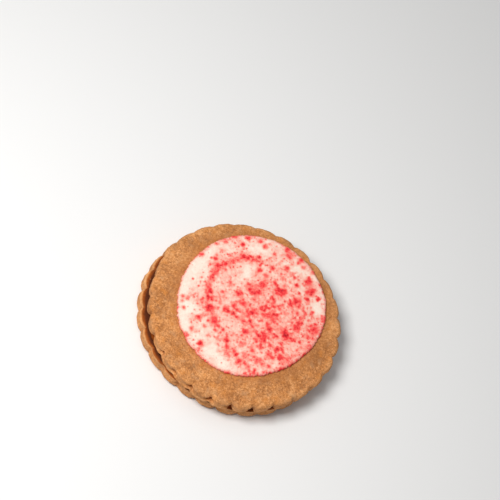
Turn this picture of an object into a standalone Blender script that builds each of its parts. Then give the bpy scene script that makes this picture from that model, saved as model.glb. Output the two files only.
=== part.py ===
"""Belgian biscuit: two fluted spiced biscuits set base to base on a thin layer of jam, with a disc
of icing on top. Metres, +Z up, with the origin at the middle of the flat face that it rests on."""

from math import atan2, cos, hypot, pi, radians, sin, tau

import bpy

# Biscuits
FLUTES = 28
STEPS_PER_FLUTE = 6
BISCUIT_RADIUS = 0.0375  # to the outside of a flute
BISCUIT_THICKNESS = 0.0056
FLUTE_DEPTH = 0.0014
LOBE_POWER = 2.2  # 2 is a round lobe; a higher power is a flatter lobe with a sharper valley
FLUTE_UNEVENNESS = 0.2  # share by which the flutes' depth rises and falls around the biscuit
FLUTE_FADE = 0.0045  # how far the valleys run in over the baked face
RIM_ROUNDING = 0.0030
ROUNDING_STEPS = 4
NECK_DEPTH = 0.0009  # the wall draws in above its foot
NECK_HEIGHT = 0.0014
FOOT_DEPTH = 0.0004  # the foot is a thin lip where the dough spread on the tray
FOOT_HEIGHT = 0.0009
FOOT_EDGE = 0.0004

UPPER_OUT_OF_ROUND = (2, 0.00025, radians(69))
LOWER_OUT_OF_ROUND = (3, 0.00035, radians(37))

# Jam between the two bases
CLEARANCE = 0.0003
JAM_THICKNESS = 0.0006
JAM_RADIUS = 0.0350
JAM_EDGE = 0.0003
JAM_STEPS = 84

# Icing
ICING_RADIUS = 0.0284
ICING_STRETCH = 0.0015  # longer by this each way along its long axis, and narrower across it
ICING_AXIS = radians(78)  # the long axis, from +X
ICING_LOBES = 0.0004  # a soft three-cornered swelling
ICING_OFFSET = 0.0043  # the icing lies off the upper biscuit's middle, towards +Y
ICING_THICKNESS = 0.0015
ICING_EDGE = 0.0011
ICING_EDGE_STEPS = 3
ICING_STEPS = 96

# Placing
LOWER_TOP = BISCUIT_THICKNESS
JAM_BOTTOM = LOWER_TOP + CLEARANCE
UPPER_BOTTOM = JAM_BOTTOM + JAM_THICKNESS + CLEARANCE
ICING_BOTTOM = UPPER_BOTTOM + BISCUIT_THICKNESS + CLEARANCE
UPPER_SHIFT = (0.0009, -0.0008)  # the upper biscuit's middle from the lower one's, along X and Y
LOWER_TURN = radians(7.4)  # its flutes are about half a flute out of step with the upper ones

MERGE_DISTANCE = 0.0001


def clear_scene():
    for old in list(bpy.data.objects):
        bpy.data.objects.remove(old, do_unlink=True)


def make_material(name, colour, roughness):
    material = bpy.data.materials.new(name)
    material.use_nodes = True
    shader = material.node_tree.nodes["Principled BSDF"]
    shader.inputs["Base Color"].default_value = (*colour, 1.0)
    shader.inputs["Roughness"].default_value = roughness
    shader.inputs["Metallic"].default_value = 0.0
    return material


def quarter_round(centre_radius, centre_height, size, steps):
    """Points of a rounded outer edge, from its top to its outermost point: (radius, height)."""
    angles = [pi / 2 * (1 - step / steps) for step in range(steps + 1)]
    return [(centre_radius + size * cos(a), centre_height + size * sin(a)) for a in angles]


def turned_mesh(name, section, steps):
    """Turns a section about Z. It runs from the top middle, down the outer side, to the base middle."""
    outline = bpy.data.meshes.new(name + "_section")
    points = [(radius, 0.0, height) for radius, height in section]
    outline.from_pydata(points, [(i, i + 1) for i in range(len(points) - 1)], [])
    turning = bpy.data.objects.new(name + "_turning", outline)
    bpy.context.scene.collection.objects.link(turning)
    screw = turning.modifiers.new("Turn", "SCREW")
    screw.axis = "Z"
    screw.steps = steps
    screw.render_steps = steps
    screw.use_merge_vertices = True
    screw.merge_threshold = MERGE_DISTANCE
    bpy.context.view_layer.update()
    evaluated = turning.evaluated_get(bpy.context.evaluated_depsgraph_get())
    mesh = bpy.data.meshes.new_from_object(evaluated)
    mesh.name = name
    bpy.data.objects.remove(turning, do_unlink=True)
    bpy.data.meshes.remove(outline)
    return mesh


def reshape(mesh, new_radius):
    """Moves each point out or in: new_radius gives its radius from radius, angle and height."""
    for vertex in mesh.vertices:
        x, y, z = vertex.co
        radius = hypot(x, y)
        if radius < MERGE_DISTANCE:
            continue
        scale = new_radius(radius, atan2(y, x), z) / radius
        vertex.co = (x * scale, y * scale, z)


def add_part(name, mesh, material, collection):
    mesh.shade_smooth()
    mesh.set_sharp_from_angle(angle=radians(35))
    mesh.materials.clear()
    mesh.materials.append(material)
    part = bpy.data.objects.new(name, mesh)
    collection.objects.link(part)
    return part


def biscuit_section():
    """Half section of one biscuit lying on its base."""
    foot = BISCUIT_RADIUS - FOOT_DEPTH
    corner = BISCUIT_RADIUS - RIM_ROUNDING
    shoulder = BISCUIT_THICKNESS - RIM_ROUNDING
    rounding = quarter_round(corner, shoulder, RIM_ROUNDING, ROUNDING_STEPS)
    return [
        (0.0, BISCUIT_THICKNESS),
        (corner - FLUTE_FADE / 2, BISCUIT_THICKNESS),
        *rounding,
        (BISCUIT_RADIUS - NECK_DEPTH, NECK_HEIGHT),
        (foot, FOOT_HEIGHT),
        (foot, FOOT_EDGE),
        (foot - FOOT_EDGE, 0.0),
        (0.0, 0.0),
    ]


def flute_share(radius, height):
    """How much of the flute depth a point takes: all on the wall, none in the middle of the face."""
    if height <= NECK_HEIGHT:
        return 1.0
    share = min(max((radius - BISCUIT_RADIUS) / FLUTE_FADE + 1, 0.0), 1.0)
    return share * share * (3 - 2 * share)


def make_biscuit(name, out_of_round, material, collection):
    """One fluted biscuit on its base, with a valley at +X.

    out_of_round is how it differs from a circle: (corners, size, angle of a corner).
    """
    corners, size, corner_angle = out_of_round

    def fluted(radius, angle, height):
        place = angle * FLUTES / tau % 1.0
        unevenness = FLUTE_UNEVENNESS * sin(5 * angle + corner_angle)
        depth = FLUTE_DEPTH * (1 + unevenness) * flute_share(radius, height)
        swelling = size * cos(corners * (angle - corner_angle)) * radius / BISCUIT_RADIUS
        return radius + swelling - depth * abs(2 * place - 1) ** LOBE_POWER

    mesh = turned_mesh(name, biscuit_section(), FLUTES * STEPS_PER_FLUTE)
    reshape(mesh, fluted)
    return add_part(name, mesh, material, collection)


def make_jam(material, collection):
    """The jam, a thin layer with a soft edge and an uneven outline, short of the biscuits' rims."""
    section = [
        (0.0, JAM_THICKNESS),
        *quarter_round(JAM_RADIUS - JAM_EDGE, JAM_THICKNESS / 2, JAM_EDGE, 2),
        (JAM_RADIUS - JAM_EDGE, 0.0),
        (0.0, 0.0),
    ]

    def spread(radius, angle, _height):
        return radius * (1 + 0.012 * sin(3 * angle + 1) + 0.01 * sin(7 * angle) + 0.006 * cos(11 * angle))

    mesh = turned_mesh("jam_filling", section, JAM_STEPS)
    reshape(mesh, spread)
    return add_part("jam_filling", mesh, material, collection)


def make_icing(material, collection):
    """The icing, a low round-edged disc, a little longer one way than the other."""
    edge_centre = ICING_RADIUS - ICING_EDGE
    base_edge = ICING_THICKNESS - ICING_EDGE
    section = [
        (0.0, ICING_THICKNESS),
        *quarter_round(edge_centre, base_edge, ICING_EDGE, ICING_EDGE_STEPS),
        (ICING_RADIUS, 0.0),
        (0.0, 0.0),
    ]

    def poured(radius, angle, _height):
        swelling = ICING_STRETCH * cos(2 * (angle - ICING_AXIS)) + ICING_LOBES * sin(3 * angle)
        return radius * (1 + swelling / ICING_RADIUS)

    mesh = turned_mesh("icing", section, ICING_STEPS)
    reshape(mesh, poured)
    return add_part("icing", mesh, material, collection)


def main():
    clear_scene()
    collection = bpy.data.collections.new("belgian_biscuit")
    bpy.context.scene.collection.children.link(collection)
    crust = make_material("spiced_biscuit", (0.50, 0.25, 0.10), 0.85)
    jam_red = make_material("jam", (0.24, 0.02, 0.025), 0.25)
    icing_pink = make_material("pink_icing", (0.93, 0.50, 0.45), 0.55)

    lower = make_biscuit("lower_biscuit", LOWER_OUT_OF_ROUND, crust, collection)
    lower.location = (0.0, 0.0, LOWER_TOP)
    lower.rotation_euler = (pi, 0.0, LOWER_TURN)

    jam = make_jam(jam_red, collection)
    jam.location = (UPPER_SHIFT[0] / 2, UPPER_SHIFT[1] / 2, JAM_BOTTOM)

    upper = make_biscuit("upper_biscuit", UPPER_OUT_OF_ROUND, crust, collection)
    upper.location = (*UPPER_SHIFT, UPPER_BOTTOM)

    icing = make_icing(icing_pink, collection)
    icing.location = (UPPER_SHIFT[0], UPPER_SHIFT[1] + ICING_OFFSET, ICING_BOTTOM)


main()
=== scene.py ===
"""Looks of the belgian biscuit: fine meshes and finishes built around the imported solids, in metres.

Two fluted spiced biscuits lie base to base on a thin layer of jam. A disc of icing lies on top, with
red sugar that has partly run into it. Each sub-assembly is a class; main() builds them in order.
"""

import logging
from dataclasses import dataclass, field
from enum import Enum
from math import cos, hypot, pi, radians, sin, tau
from typing import Any, Union

import bpy
import numpy as np
from mathutils import Euler, Matrix, Quaternion, Vector

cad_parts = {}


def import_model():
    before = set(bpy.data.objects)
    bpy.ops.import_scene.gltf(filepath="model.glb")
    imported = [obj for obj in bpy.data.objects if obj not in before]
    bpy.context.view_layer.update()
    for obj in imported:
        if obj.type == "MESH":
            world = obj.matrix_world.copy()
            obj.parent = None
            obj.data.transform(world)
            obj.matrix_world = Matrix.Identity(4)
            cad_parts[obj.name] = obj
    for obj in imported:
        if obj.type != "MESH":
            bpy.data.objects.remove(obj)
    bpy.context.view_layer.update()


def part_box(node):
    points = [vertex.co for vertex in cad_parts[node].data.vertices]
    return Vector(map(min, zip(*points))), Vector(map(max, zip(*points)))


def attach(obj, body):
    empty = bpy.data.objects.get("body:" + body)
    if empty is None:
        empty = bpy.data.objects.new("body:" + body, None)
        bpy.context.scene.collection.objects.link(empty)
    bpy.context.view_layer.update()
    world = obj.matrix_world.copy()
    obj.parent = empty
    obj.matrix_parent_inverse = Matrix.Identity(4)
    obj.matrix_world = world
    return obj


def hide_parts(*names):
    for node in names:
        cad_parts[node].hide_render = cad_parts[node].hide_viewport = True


log = logging.getLogger("biscuit")

MM = 0.001
BODY = "root"
FLUTES = 28
STEPS_PER_FLUTE = 26
UPPER_SHIFT = (0.9 * MM, -0.8 * MM)  # the upper biscuit's middle from the lower one's
ICING_RADIUS = 28.4 * MM
ICING_OFFSET = 4.3 * MM  # the icing's middle from the upper biscuit's, along Y

Colour = tuple[float, float, float]
Plain = Union[int, float, tuple, "Term"]


class Slot(Enum):
    """The record's material slots."""

    BISCUIT = "biscuit"
    JAM = "jam"
    ICING = "icing"
    RED_CRYSTALS = "red_crystals"
    CLEAR_CRYSTALS = "clear_crystals"


# ---- Node trees ----


class Term:
    """A number or a colour inside a node tree, on which ordinary arithmetic works."""

    def __init__(self, graph: "Graph", socket: bpy.types.NodeSocket) -> None:
        """Wraps a socket of the graph."""
        self.graph = graph
        self.socket = socket

    def __add__(self, other: Plain) -> "Term":
        """Sum."""
        return self.graph.math("ADD", self, other)

    def __sub__(self, other: Plain) -> "Term":
        """Difference."""
        return self.graph.math("SUBTRACT", self, other)

    def __rsub__(self, other: Plain) -> "Term":
        """Difference."""
        return self.graph.math("SUBTRACT", other, self)

    def __mul__(self, other: Plain) -> "Term":
        """Product."""
        return self.graph.math("MULTIPLY", self, other)

    def __truediv__(self, other: Plain) -> "Term":
        """Quotient."""
        return self.graph.math("DIVIDE", self, other)

    def __pow__(self, other: Plain) -> "Term":
        """Power."""
        return self.graph.math("POWER", self, other)

    def __abs__(self) -> "Term":
        """Size without its sign."""
        return self.graph.math("ABSOLUTE", self)

    __radd__ = __add__
    __rmul__ = __mul__


class Graph:
    """A node tree that is filled by short calls, which take and give back terms."""

    def __init__(self, tree: bpy.types.NodeTree) -> None:
        """Starts on an empty tree."""
        self.tree = tree

    def feed(self, socket: bpy.types.NodeSocket, value: Any) -> None:
        """Links a term to a socket, or sets a plain value on it.

        Args:
            socket: The input.
            value: What it takes.
        """
        if isinstance(value, Term):
            self.tree.links.new(value.socket, socket)
        else:
            socket.default_value = value

    def node(self, kind: str, inputs: dict | None = None, **settings: Any) -> bpy.types.Node:
        """Adds a node.

        Args:
            kind: The node's type name.
            inputs: Values or terms, by the name or the number of the input.
            settings: The node's own settings.

        Returns:
            The new node.
        """
        made = self.tree.nodes.new(kind)
        for name, value in settings.items():
            setattr(made, name, value)
        for key, value in (inputs or {}).items():
            self.feed(made.inputs[key], value)
        return made

    def term(self, kind: str, inputs: dict | None = None, output: int | str = 0, **settings: Any) -> Term:
        """Adds a node as node() does.

        Args:
            kind: The node's type name.
            inputs: Values or terms, by the name or the number of the input.
            output: Name or number of the output.
            settings: The node's own settings.

        Returns:
            That output.
        """
        return Term(self, self.node(kind, inputs, **settings).outputs[output])

    def math(self, operation: str, *values: Plain) -> Term:
        """Adds a Math node and returns its result."""
        return self.term("ShaderNodeMath", dict(enumerate(values)), operation=operation)

    def smooth(self, value: Term, low: Plain, high: Plain) -> Term:
        """Rises smoothly from 0 to 1 as value goes from low to high."""
        inputs = {"Value": value, "From Min": low, "From Max": high}
        return self.term("ShaderNodeMapRange", inputs, "Result", interpolation_type="SMOOTHSTEP")

    def split(self, vector: Term) -> tuple[Term, Term, Term]:
        """Returns the three parts of a vector."""
        made = self.node("ShaderNodeSeparateXYZ", {0: vector})
        return tuple(Term(self, output) for output in made.outputs)

    def join(self, x: Plain, y: Plain, z: Plain) -> Term:
        """Returns the vector of three numbers."""
        return self.term("ShaderNodeCombineXYZ", {0: x, 1: y, 2: z})

    def length(self, x: Term, y: Term) -> Term:
        """Returns the distance from the origin to a place in the plane."""
        return self.math("SQRT", x * x + y * y)

    def scaled(self, vector: Term, factor: Term) -> Term:
        """Returns the vector times a number."""
        return self.term("ShaderNodeVectorMath", {0: vector, "Scale": factor}, operation="SCALE")

    def noise(self, place: Term, size: float, detail: float = 2.0, shift: float = 0.0) -> Term:
        """Smooth noise about zero, from about -0.5 to 0.5.

        Args:
            place: Position that the noise is read at.
            size: Width of its swellings, in metres.
            detail: Number of finer layers.
            shift: Moves it along a fourth axis, for another pattern.

        Returns:
            The noise.
        """
        inputs = {"Vector": place, "W": shift, "Scale": 1.0 / size, "Detail": detail, "Roughness": 0.55}
        return self.term("ShaderNodeTexNoise", inputs, noise_dimensions="4D") - 0.5

    def stirred(self, place: Term, size: float, reach: float, shift: float = 9.0) -> Term:
        """Moves a place about by smooth noise.

        Args:
            place: The place.
            size: Width of the noise's swellings, in metres.
            reach: Twice the most that it moves.
            shift: Moves the noise along a fourth axis.

        Returns:
            The moved place.
        """
        inputs = {"Vector": place, "W": shift, "Scale": 1.0 / size, "Detail": 1.0}
        noise = self.term("ShaderNodeTexNoise", inputs, "Color", noise_dimensions="4D")
        inputs = {0: noise, 1: (reach,) * 3, 2: place}
        return self.term("ShaderNodeVectorMath", inputs, operation="MULTIPLY_ADD")

    def cells(self, place: Term, size: float, shift: float = 0.0) -> tuple[Term, Term]:
        """Scatters points, one in each cell.

        Args:
            place: Position that they are read at.
            size: Size of a cell, in metres.
            shift: Moves them along a fourth axis, for another pattern.

        Returns:
            The distance to the nearest point, in cells, and a chance value that goes with it.
        """
        inputs = {"Vector": place, "W": shift, "Scale": 1.0 / size}
        made = self.node("ShaderNodeTexVoronoi", inputs, voronoi_dimensions="4D")
        chance = self.split(Term(self, made.outputs["Color"]))[0]
        return Term(self, made.outputs["Distance"]), chance

    def spots(
        self, place: Term, size: float, shift: float, edge: tuple[float, float], rarity: tuple[float, float]
    ) -> Term:
        """Scattered soft spots, 1 in the middle of each and 0 between them.

        Args:
            place: Position that they are read at.
            size: Size of the cells that hold one each, in metres.
            shift: Moves them along a fourth axis, for another pattern.
            edge: Distances from a spot's middle where it is 0 and 1, in sizes of a cell.
            rarity: Chance values of a cell from which its spot starts to show and shows in full.

        Returns:
            The spots.
        """
        distance, chance = self.cells(place, size, shift)
        return self.smooth(distance, *edge) * self.smooth(chance, *rarity)


class ShapeGraph(Graph):
    """A Geometry Nodes tree with named inputs, run on an object's own mesh."""

    KINDS = {int: "NodeSocketInt", float: "NodeSocketFloat", bpy.types.Material: "NodeSocketMaterial"}

    def __init__(self, name: str, values: dict[str, Any]) -> None:
        """Makes the tree.

        Args:
            name: The tree's name.
            values: The named inputs and what the modifier sets them to.
        """
        super().__init__(bpy.data.node_groups.new(name, "GeometryNodeTree"))
        face = self.tree.interface
        face.new_socket("Geometry", in_out="INPUT", socket_type="NodeSocketGeometry")
        face.new_socket("Geometry", in_out="OUTPUT", socket_type="NodeSocketGeometry")
        self.values = {}
        for label, value in values.items():
            socket = face.new_socket(label, in_out="INPUT", socket_type=self.KINDS[type(value)])
            self.values[socket.identifier] = value
        self.start = self.node("NodeGroupInput")
        self.shape = Term(self, self.start.outputs["Geometry"])

    def given(self, label: str) -> Term:
        """Returns a named input."""
        return Term(self, self.start.outputs[label])

    def then(self, kind: str, inputs: dict | None = None, **settings: Any) -> None:
        """Passes the shape on through one more node."""
        self.shape = self.term(kind, {0: self.shape, **(inputs or {})}, **settings)

    def place(self) -> Term:
        """Returns the position of each point."""
        return self.term("GeometryNodeInputPosition")

    def store(self, label: str, value: Term) -> None:
        """Keeps a number on each point under a name, for the finish to read."""
        inputs = {"Name": label, "Value": value}
        self.then("GeometryNodeStoreNamedAttribute", inputs, data_type="FLOAT", domain="POINT")

    def chance(self, index: Term, count: Term) -> Term:
        """Returns a fixed chance value from 0 to 1 for each index, which comes round after count."""
        turned = self.math("FLOORED_MODULO", index, count)
        return self.term("ShaderNodeTexWhiteNoise", {"W": turned}, "Value", noise_dimensions="1D")

    def random(self, low: tuple, high: tuple, seed: Plain) -> Term:
        """Returns a chance vector between two corners for each point."""
        inputs = {0: low, 1: high, "Seed": seed}
        return self.term("FunctionNodeRandomValue", inputs, data_type="FLOAT_VECTOR")

    def run(self, piece: bpy.types.Object) -> None:
        """Ends the tree and makes its result the piece's plain mesh.

        Args:
            piece: The object that it runs on, which keeps no modifier.
        """
        self.then("GeometryNodeRealizeInstances")
        self.then("GeometryNodeSetMaterial", {"Material": self.given("Finish")})
        self.node("NodeGroupOutput", {0: self.shape})
        modifier = piece.modifiers.new(self.tree.name, "NODES")
        modifier.node_group = self.tree
        for identifier, value in self.values.items():
            modifier[identifier] = value
        bpy.context.view_layer.update()
        evaluated = piece.evaluated_get(bpy.context.evaluated_depsgraph_get())
        mesh = bpy.data.meshes.new_from_object(evaluated)
        piece.modifiers.clear()
        piece.data = mesh
        mesh.name = piece.name


class FinishGraph(Graph):
    """A material's tree around one Principled shader."""

    def __init__(self, name: str) -> None:
        """Makes an empty material with its shader and output.

        Args:
            name: The material's name.
        """
        self.material = bpy.data.materials.new(name)
        self.material.use_nodes = True
        super().__init__(self.material.node_tree)
        self.tree.nodes.clear()
        self.shader = self.node("ShaderNodeBsdfPrincipled")
        output = self.node("ShaderNodeOutputMaterial")
        self.tree.links.new(self.shader.outputs[0], output.inputs[0])

    def place(self) -> Term:
        """Returns the position in the object's own frame."""
        return self.term("ShaderNodeTexCoord", output="Object")

    def stored(self, label: str) -> Term:
        """Returns a number that is kept on the mesh."""
        return self.term("ShaderNodeAttribute", output="Fac", attribute_name=label)

    def set(self, **values: Any) -> None:
        """Sets or links the shader's inputs, with _ for a space in their names."""
        for label, value in values.items():
            self.feed(self.shader.inputs[label.replace("_", " ")], value)

    def mix(self, share: Plain, low: Any, high: Any, blend: str = "MIX") -> Term:
        """Blends the second colour over the first.

        Args:
            share: How much of it, held between 0 and 1.
            low: The first colour.
            high: The second colour.
            blend: The Mix node's way of blending.

        Returns:
            The blend.
        """
        made = self.node("ShaderNodeMix", data_type="RGBA", clamp_factor=True, blend_type=blend)
        self.feed(made.inputs[0], share)
        for socket, value in ((made.inputs[6], low), (made.inputs[7], high)):
            self.feed(socket, value if isinstance(value, Term) else (*value, 1.0))
        return Term(self, made.outputs[2])

    def ramp(self, share: Term, stops: tuple[tuple[float, Colour], ...]) -> Term:
        """Runs through colours.

        Args:
            share: Place between the stops, from 0 to 1.
            stops: Places and their colours, in order.

        Returns:
            The colour.
        """
        made = self.node("ShaderNodeValToRGB", {0: share})
        elements = made.color_ramp.elements
        while len(elements) < len(stops):
            elements.new(0.5)
        for element, (position, colour) in zip(elements, stops):
            element.position = position
            element.color = (*colour, 1.0)
        return Term(self, made.outputs[0])

    def bump(self, height: Term, depth: float, strength: float = 1.0) -> None:
        """Gives the shader a relief of this depth in metres for a height from 0 to 1."""
        inputs = {"Strength": strength, "Distance": depth, "Height": height}
        self.set(Normal=self.term("ShaderNodeBump", inputs))


# ---- Finishes ----


@dataclass(frozen=True)
class CrustFinish:
    """Dry spiced biscuit: a sandy brown crumb with pores and pale freckles, with a painted highlight on its
    edges, painted shade in its valleys, and a base darkened by jam stain and painted shade.
    """

    dark: Colour = (0.34, 0.125, 0.034)
    middle: Colour = (0.59, 0.240, 0.076)
    light: Colour = (0.85, 0.410, 0.158)
    # Colours laid over the crumb, each with its share
    dull: Colour = (0.50, 0.262, 0.125)
    dull_share: float = 0.6
    warm: Colour = (0.66, 0.235, 0.045)
    warm_share: float = 0.7
    # painted highlight: a lighter colour on the lips and shoulders, where they catch the light
    edge: Colour = (0.88, 0.46, 0.19)
    edge_highlight_share: float = 0.45
    moist: Colour = (0.40, 0.150, 0.043)
    moist_share: float = 0.42
    # painted shade: the valleys and the pockets are darkened towards the dark crumb colour
    valley_shade_share: float = 0.30
    # jam stain and painted shade: the base near the seam is darkened
    seam: Colour = (0.56, 0.29, 0.08)
    seam_stain_and_shade_share: float = 1.9
    # painted shadow: near-black where the seam lies deepest, inside the notches
    deep_seam_shade: Colour = (0.10, 0.020, 0.003)
    pore: Colour = (0.17, 0.055, 0.014)
    pore_share: float = 0.6
    pore_spacing: float = 1.5 * MM
    freckle: Colour = (0.95, 0.58, 0.30)
    freckle_share: float = 0.45
    freckle_spacing: float = 1.1 * MM
    # Widths of the grains, of the coarser sand and of the patches
    grain: float = 0.34 * MM
    sand: float = 0.9 * MM
    patch: float = 4.5 * MM
    relief: float = 0.18 * MM

    def make(self) -> bpy.types.Material:
        """Returns the material. It reads "edge" (painted highlight), "valley" (painted shade), "moist" and
        "seam" (jam stain and painted shade) from the mesh.
        """
        graph = FinishGraph("spiced_biscuit")
        place = graph.place()
        fine = graph.noise(place, self.grain, 2.0)
        sand = graph.noise(place, self.sand, 2.0, 1.0)
        patches = graph.noise(place, self.patch, 3.0, 2.0)
        warmth = graph.noise(place, 0.5 * self.patch, 3.0, 6.0)
        stirred = graph.stirred(place, self.grain, 0.5 * self.grain)
        roundness, chance = graph.cells(stirred, self.grain, 5.0)
        grains = (chance - 0.5) * 0.5 - (roundness - 0.4) * 0.4
        tone = 0.5 + fine * 1.2 + grains + sand * 1.5 + patches * 1.6
        pore = graph.spots(place, self.pore_spacing, 3.0, (0.17, 0.05), (0.6, 0.7))
        freckle = graph.spots(place, self.freckle_spacing, 7.0, (0.20, 0.06), (0.62, 0.72))
        seam = graph.stored("seam")
        colour = graph.ramp(tone, ((0.0, self.dark), (0.5, self.middle), (1.0, self.light)))
        for share, tint, blend in (
            (graph.smooth(warmth, 0.0, 0.25) * self.dull_share, self.dull, "MIX"),
            (graph.smooth(warmth, 0.0, -0.25) * self.warm_share, self.warm, "MIX"),
            # painted highlight on the lips and shoulders
            (graph.stored("edge") * self.edge_highlight_share, self.edge, "MIX"),
            (graph.stored("moist") * self.moist_share, self.moist, "MIX"),
            # painted shade in the valleys and pockets
            (graph.stored("valley") * self.valley_shade_share, self.dark, "MIX"),
            # jam stain and painted shade on the base near the seam
            (seam * self.seam_stain_and_shade_share, self.seam, "MULTIPLY"),
            # painted shadow in the deepest part of the seam
            (seam * 2 - 1, self.deep_seam_shade, "MIX"),
            (pore * self.pore_share, self.pore, "MIX"),
            (freckle * self.freckle_share, self.freckle, "MIX"),
        ):
            colour = graph.mix(share, colour, tint, blend)
        graph.set(Base_Color=colour, Roughness=0.85, Specular_IOR_Level=0.3)
        graph.bump(fine * 0.6 - roundness * 0.5 + sand * 0.8 - pore * 0.6, self.relief, 0.8)
        return graph.material


@dataclass(frozen=True)
class JamFinish:
    """Dark red-brown jam, dull in the shade of the seam."""

    deep: Colour = (0.11, 0.022, 0.003)
    bright: Colour = (0.27, 0.060, 0.006)
    cloud: float = 0.8 * MM
    relief: float = 0.4 * MM

    def make(self) -> bpy.types.Material:
        """Returns the material."""
        graph = FinishGraph("jam")
        cloud = graph.noise(graph.place(), self.cloud, 3.0)
        graph.set(Base_Color=graph.mix(cloud + 0.5, self.deep, self.bright))
        graph.set(Roughness=0.6, Specular_IOR_Level=0.04)
        graph.bump(cloud, self.relief, 0.8)
        return graph.material


@dataclass(frozen=True)
class IcingFinish:
    """Set sugar icing, cream white where it is clean and red where the sugar's colour has run."""

    clean: Colour = (0.96, 0.88, 0.765)
    blush: Colour = (0.96, 0.57, 0.465)
    pink: Colour = (0.96, 0.30, 0.235)
    red: Colour = (0.95, 0.062, 0.062)
    strong: Colour = (0.82, 0.018, 0.030)
    deep: Colour = (0.42, 0.006, 0.014)
    grain: float = 0.38 * MM
    ripple: float = 1.0 * MM
    relief: float = 0.10 * MM

    def make(self) -> bpy.types.Material:
        """Returns the material. It reads "dye" from the mesh."""
        graph = FinishGraph("stained_icing")
        place = graph.place()
        fine = graph.noise(place, self.grain, 2.0)
        dye = graph.stored("dye")
        share = dye + fine * (0.14 + dye * 1.2)
        stops = (
            (0.0, self.clean), (0.2, self.blush), (0.4, self.pink),
            (0.7, self.red), (0.9, self.strong), (1.0, self.deep),
        )
        graph.set(Base_Color=graph.ramp(share, stops), Roughness=0.6, Specular_IOR_Level=0.2)
        graph.bump(fine + graph.noise(place, self.ripple, 2.0, 4.0) * 0.8, self.relief, 0.7)
        return graph.material


@dataclass(frozen=True)
class CrystalFinish:
    """Sugar crystals, shiny on their flat faces, whose colour runs from low to high with their tone."""

    name: str
    low: Colour
    high: Colour
    roughness: float = 0.18

    def make(self) -> bpy.types.Material:
        """Returns the material. It reads "tone" from the mesh."""
        graph = FinishGraph(self.name)
        graph.set(Base_Color=graph.mix(graph.stored("tone"), self.low, self.high))
        graph.set(Roughness=self.roughness, Specular_IOR_Level=0.4)
        return graph.material


# ---- Meshes ----


def add_piece(name: str, mesh: bpy.types.Mesh, *replaced: str, slot: Slot) -> None:
    """Adds a piece of the biscuit to the scene, riding on the biscuit's one body.

    Args:
        name: The piece's name.
        mesh: Its mesh, in place.
        replaced: The CAD nodes that it stands for.
        slot: The record's material slot; not used.
    """
    piece = bpy.data.objects.new(name, mesh)
    bpy.context.scene.collection.objects.link(piece)
    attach(piece, BODY)
    if replaced:
        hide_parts(*replaced)
    log.info("%s: %d faces", name, len(mesh.polygons))


def ring_mesh(name: str, rings: list[np.ndarray]) -> bpy.types.Mesh:
    """Joins rings of points into a closed skin, from a top pole to a bottom pole.

    Args:
        name: The mesh's name.
        rings: Arrays of shape (points, 3), counter-clockwise from above; the first and the last
            are drawn together to a pole at their middle.

    Returns:
        The mesh.
    """
    count = len(rings[0])
    top, bottom = rings[0].mean(0), rings[-1].mean(0)
    points = np.vstack([*rings, top[None], bottom[None]])
    here = np.arange(count)
    after = (here + 1) % count
    faces = []
    for index in range(len(rings) - 1):
        upper, lower = index * count, (index + 1) * count
        faces += np.column_stack([upper + here, lower + here, lower + after, upper + after]).tolist()
    last, pole = (len(rings) - 1) * count, len(rings) * count
    faces += np.column_stack([np.full(count, pole), here, after]).tolist()
    faces += np.column_stack([np.full(count, pole + 1), last + after, last + here]).tolist()
    mesh = bpy.data.meshes.new(name)
    mesh.from_pydata(points.tolist(), [], faces)
    mesh.shade_smooth()
    return mesh


def disc_grid(rings: int) -> tuple[np.ndarray, np.ndarray, np.ndarray]:
    """Spreads even quads over a disc, by drawing square rings out to circles.

    Args:
        rings: Number of rings around the middle point.

    Returns:
        The ring number and the angle of each point, and the four point numbers of each quad.
    """
    steps = np.arange(-rings, rings + 1)
    across, along = (axis.ravel() for axis in np.meshgrid(steps, steps))
    ring = np.maximum(abs(across), abs(along))
    size = np.maximum(ring, 1)
    sideways = pi / 4 * along / size * np.sign(across) + np.where(across < 0, pi, 0)
    upright = pi / 2 - pi / 4 * across / size * np.sign(along) + np.where(along < 0, pi, 0)
    angle = np.where(abs(across) >= abs(along), sideways, upright) % tau
    side = len(steps)
    corner = (np.arange(side - 1)[:, None] * side + np.arange(side - 1)).ravel()
    return ring, angle, np.column_stack([corner, corner + 1, corner + side + 1, corner + side])


def store_on_points(mesh: bpy.types.Mesh, label: str, values: np.ndarray) -> None:
    """Keeps a number on each of the mesh's points under a name."""
    attribute = mesh.attributes.new(label, "FLOAT", "POINT")
    attribute.data.foreach_set("value", values.astype(np.float32))


def points_of(mesh: bpy.types.Mesh) -> np.ndarray:
    """Reads the mesh's points.

    Args:
        mesh: The mesh.

    Returns:
        An array of shape (points, 3).
    """
    flat = np.empty(len(mesh.vertices) * 3, np.float32)
    mesh.vertices.foreach_get("co", flat)
    return flat.reshape(-1, 3).astype(float)


@dataclass
class Ripples:
    """A smooth seeded pattern over a plane: the sum of many small waves."""

    seed: int
    width: float
    waves: int = 40

    def __call__(self, x: np.ndarray, y: np.ndarray) -> np.ndarray:
        """Works out the pattern.

        Args:
            x: Places along X, in the unit of the width.
            y: Places along Y.

        Returns:
            The pattern there, mostly from -1 to 1.
        """
        chance = np.random.default_rng(self.seed)
        total = np.zeros_like(x, dtype=float)
        for _ in range(self.waves):
            heading, phase = chance.uniform(0, tau, 2)
            pitch = tau / self.width * chance.uniform(0.5, 1.4)
            total += np.sin(pitch * (x * cos(heading) + y * sin(heading)) + phase)
        return total / (self.waves / 2) ** 0.5


# ---- Biscuits ----


@dataclass(frozen=True)
class Side:
    """A stretch of the rim: its middle's direction in degrees from +X, and how much is changed there."""

    degrees: float = 0.0
    amount: float = 0.0


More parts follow.
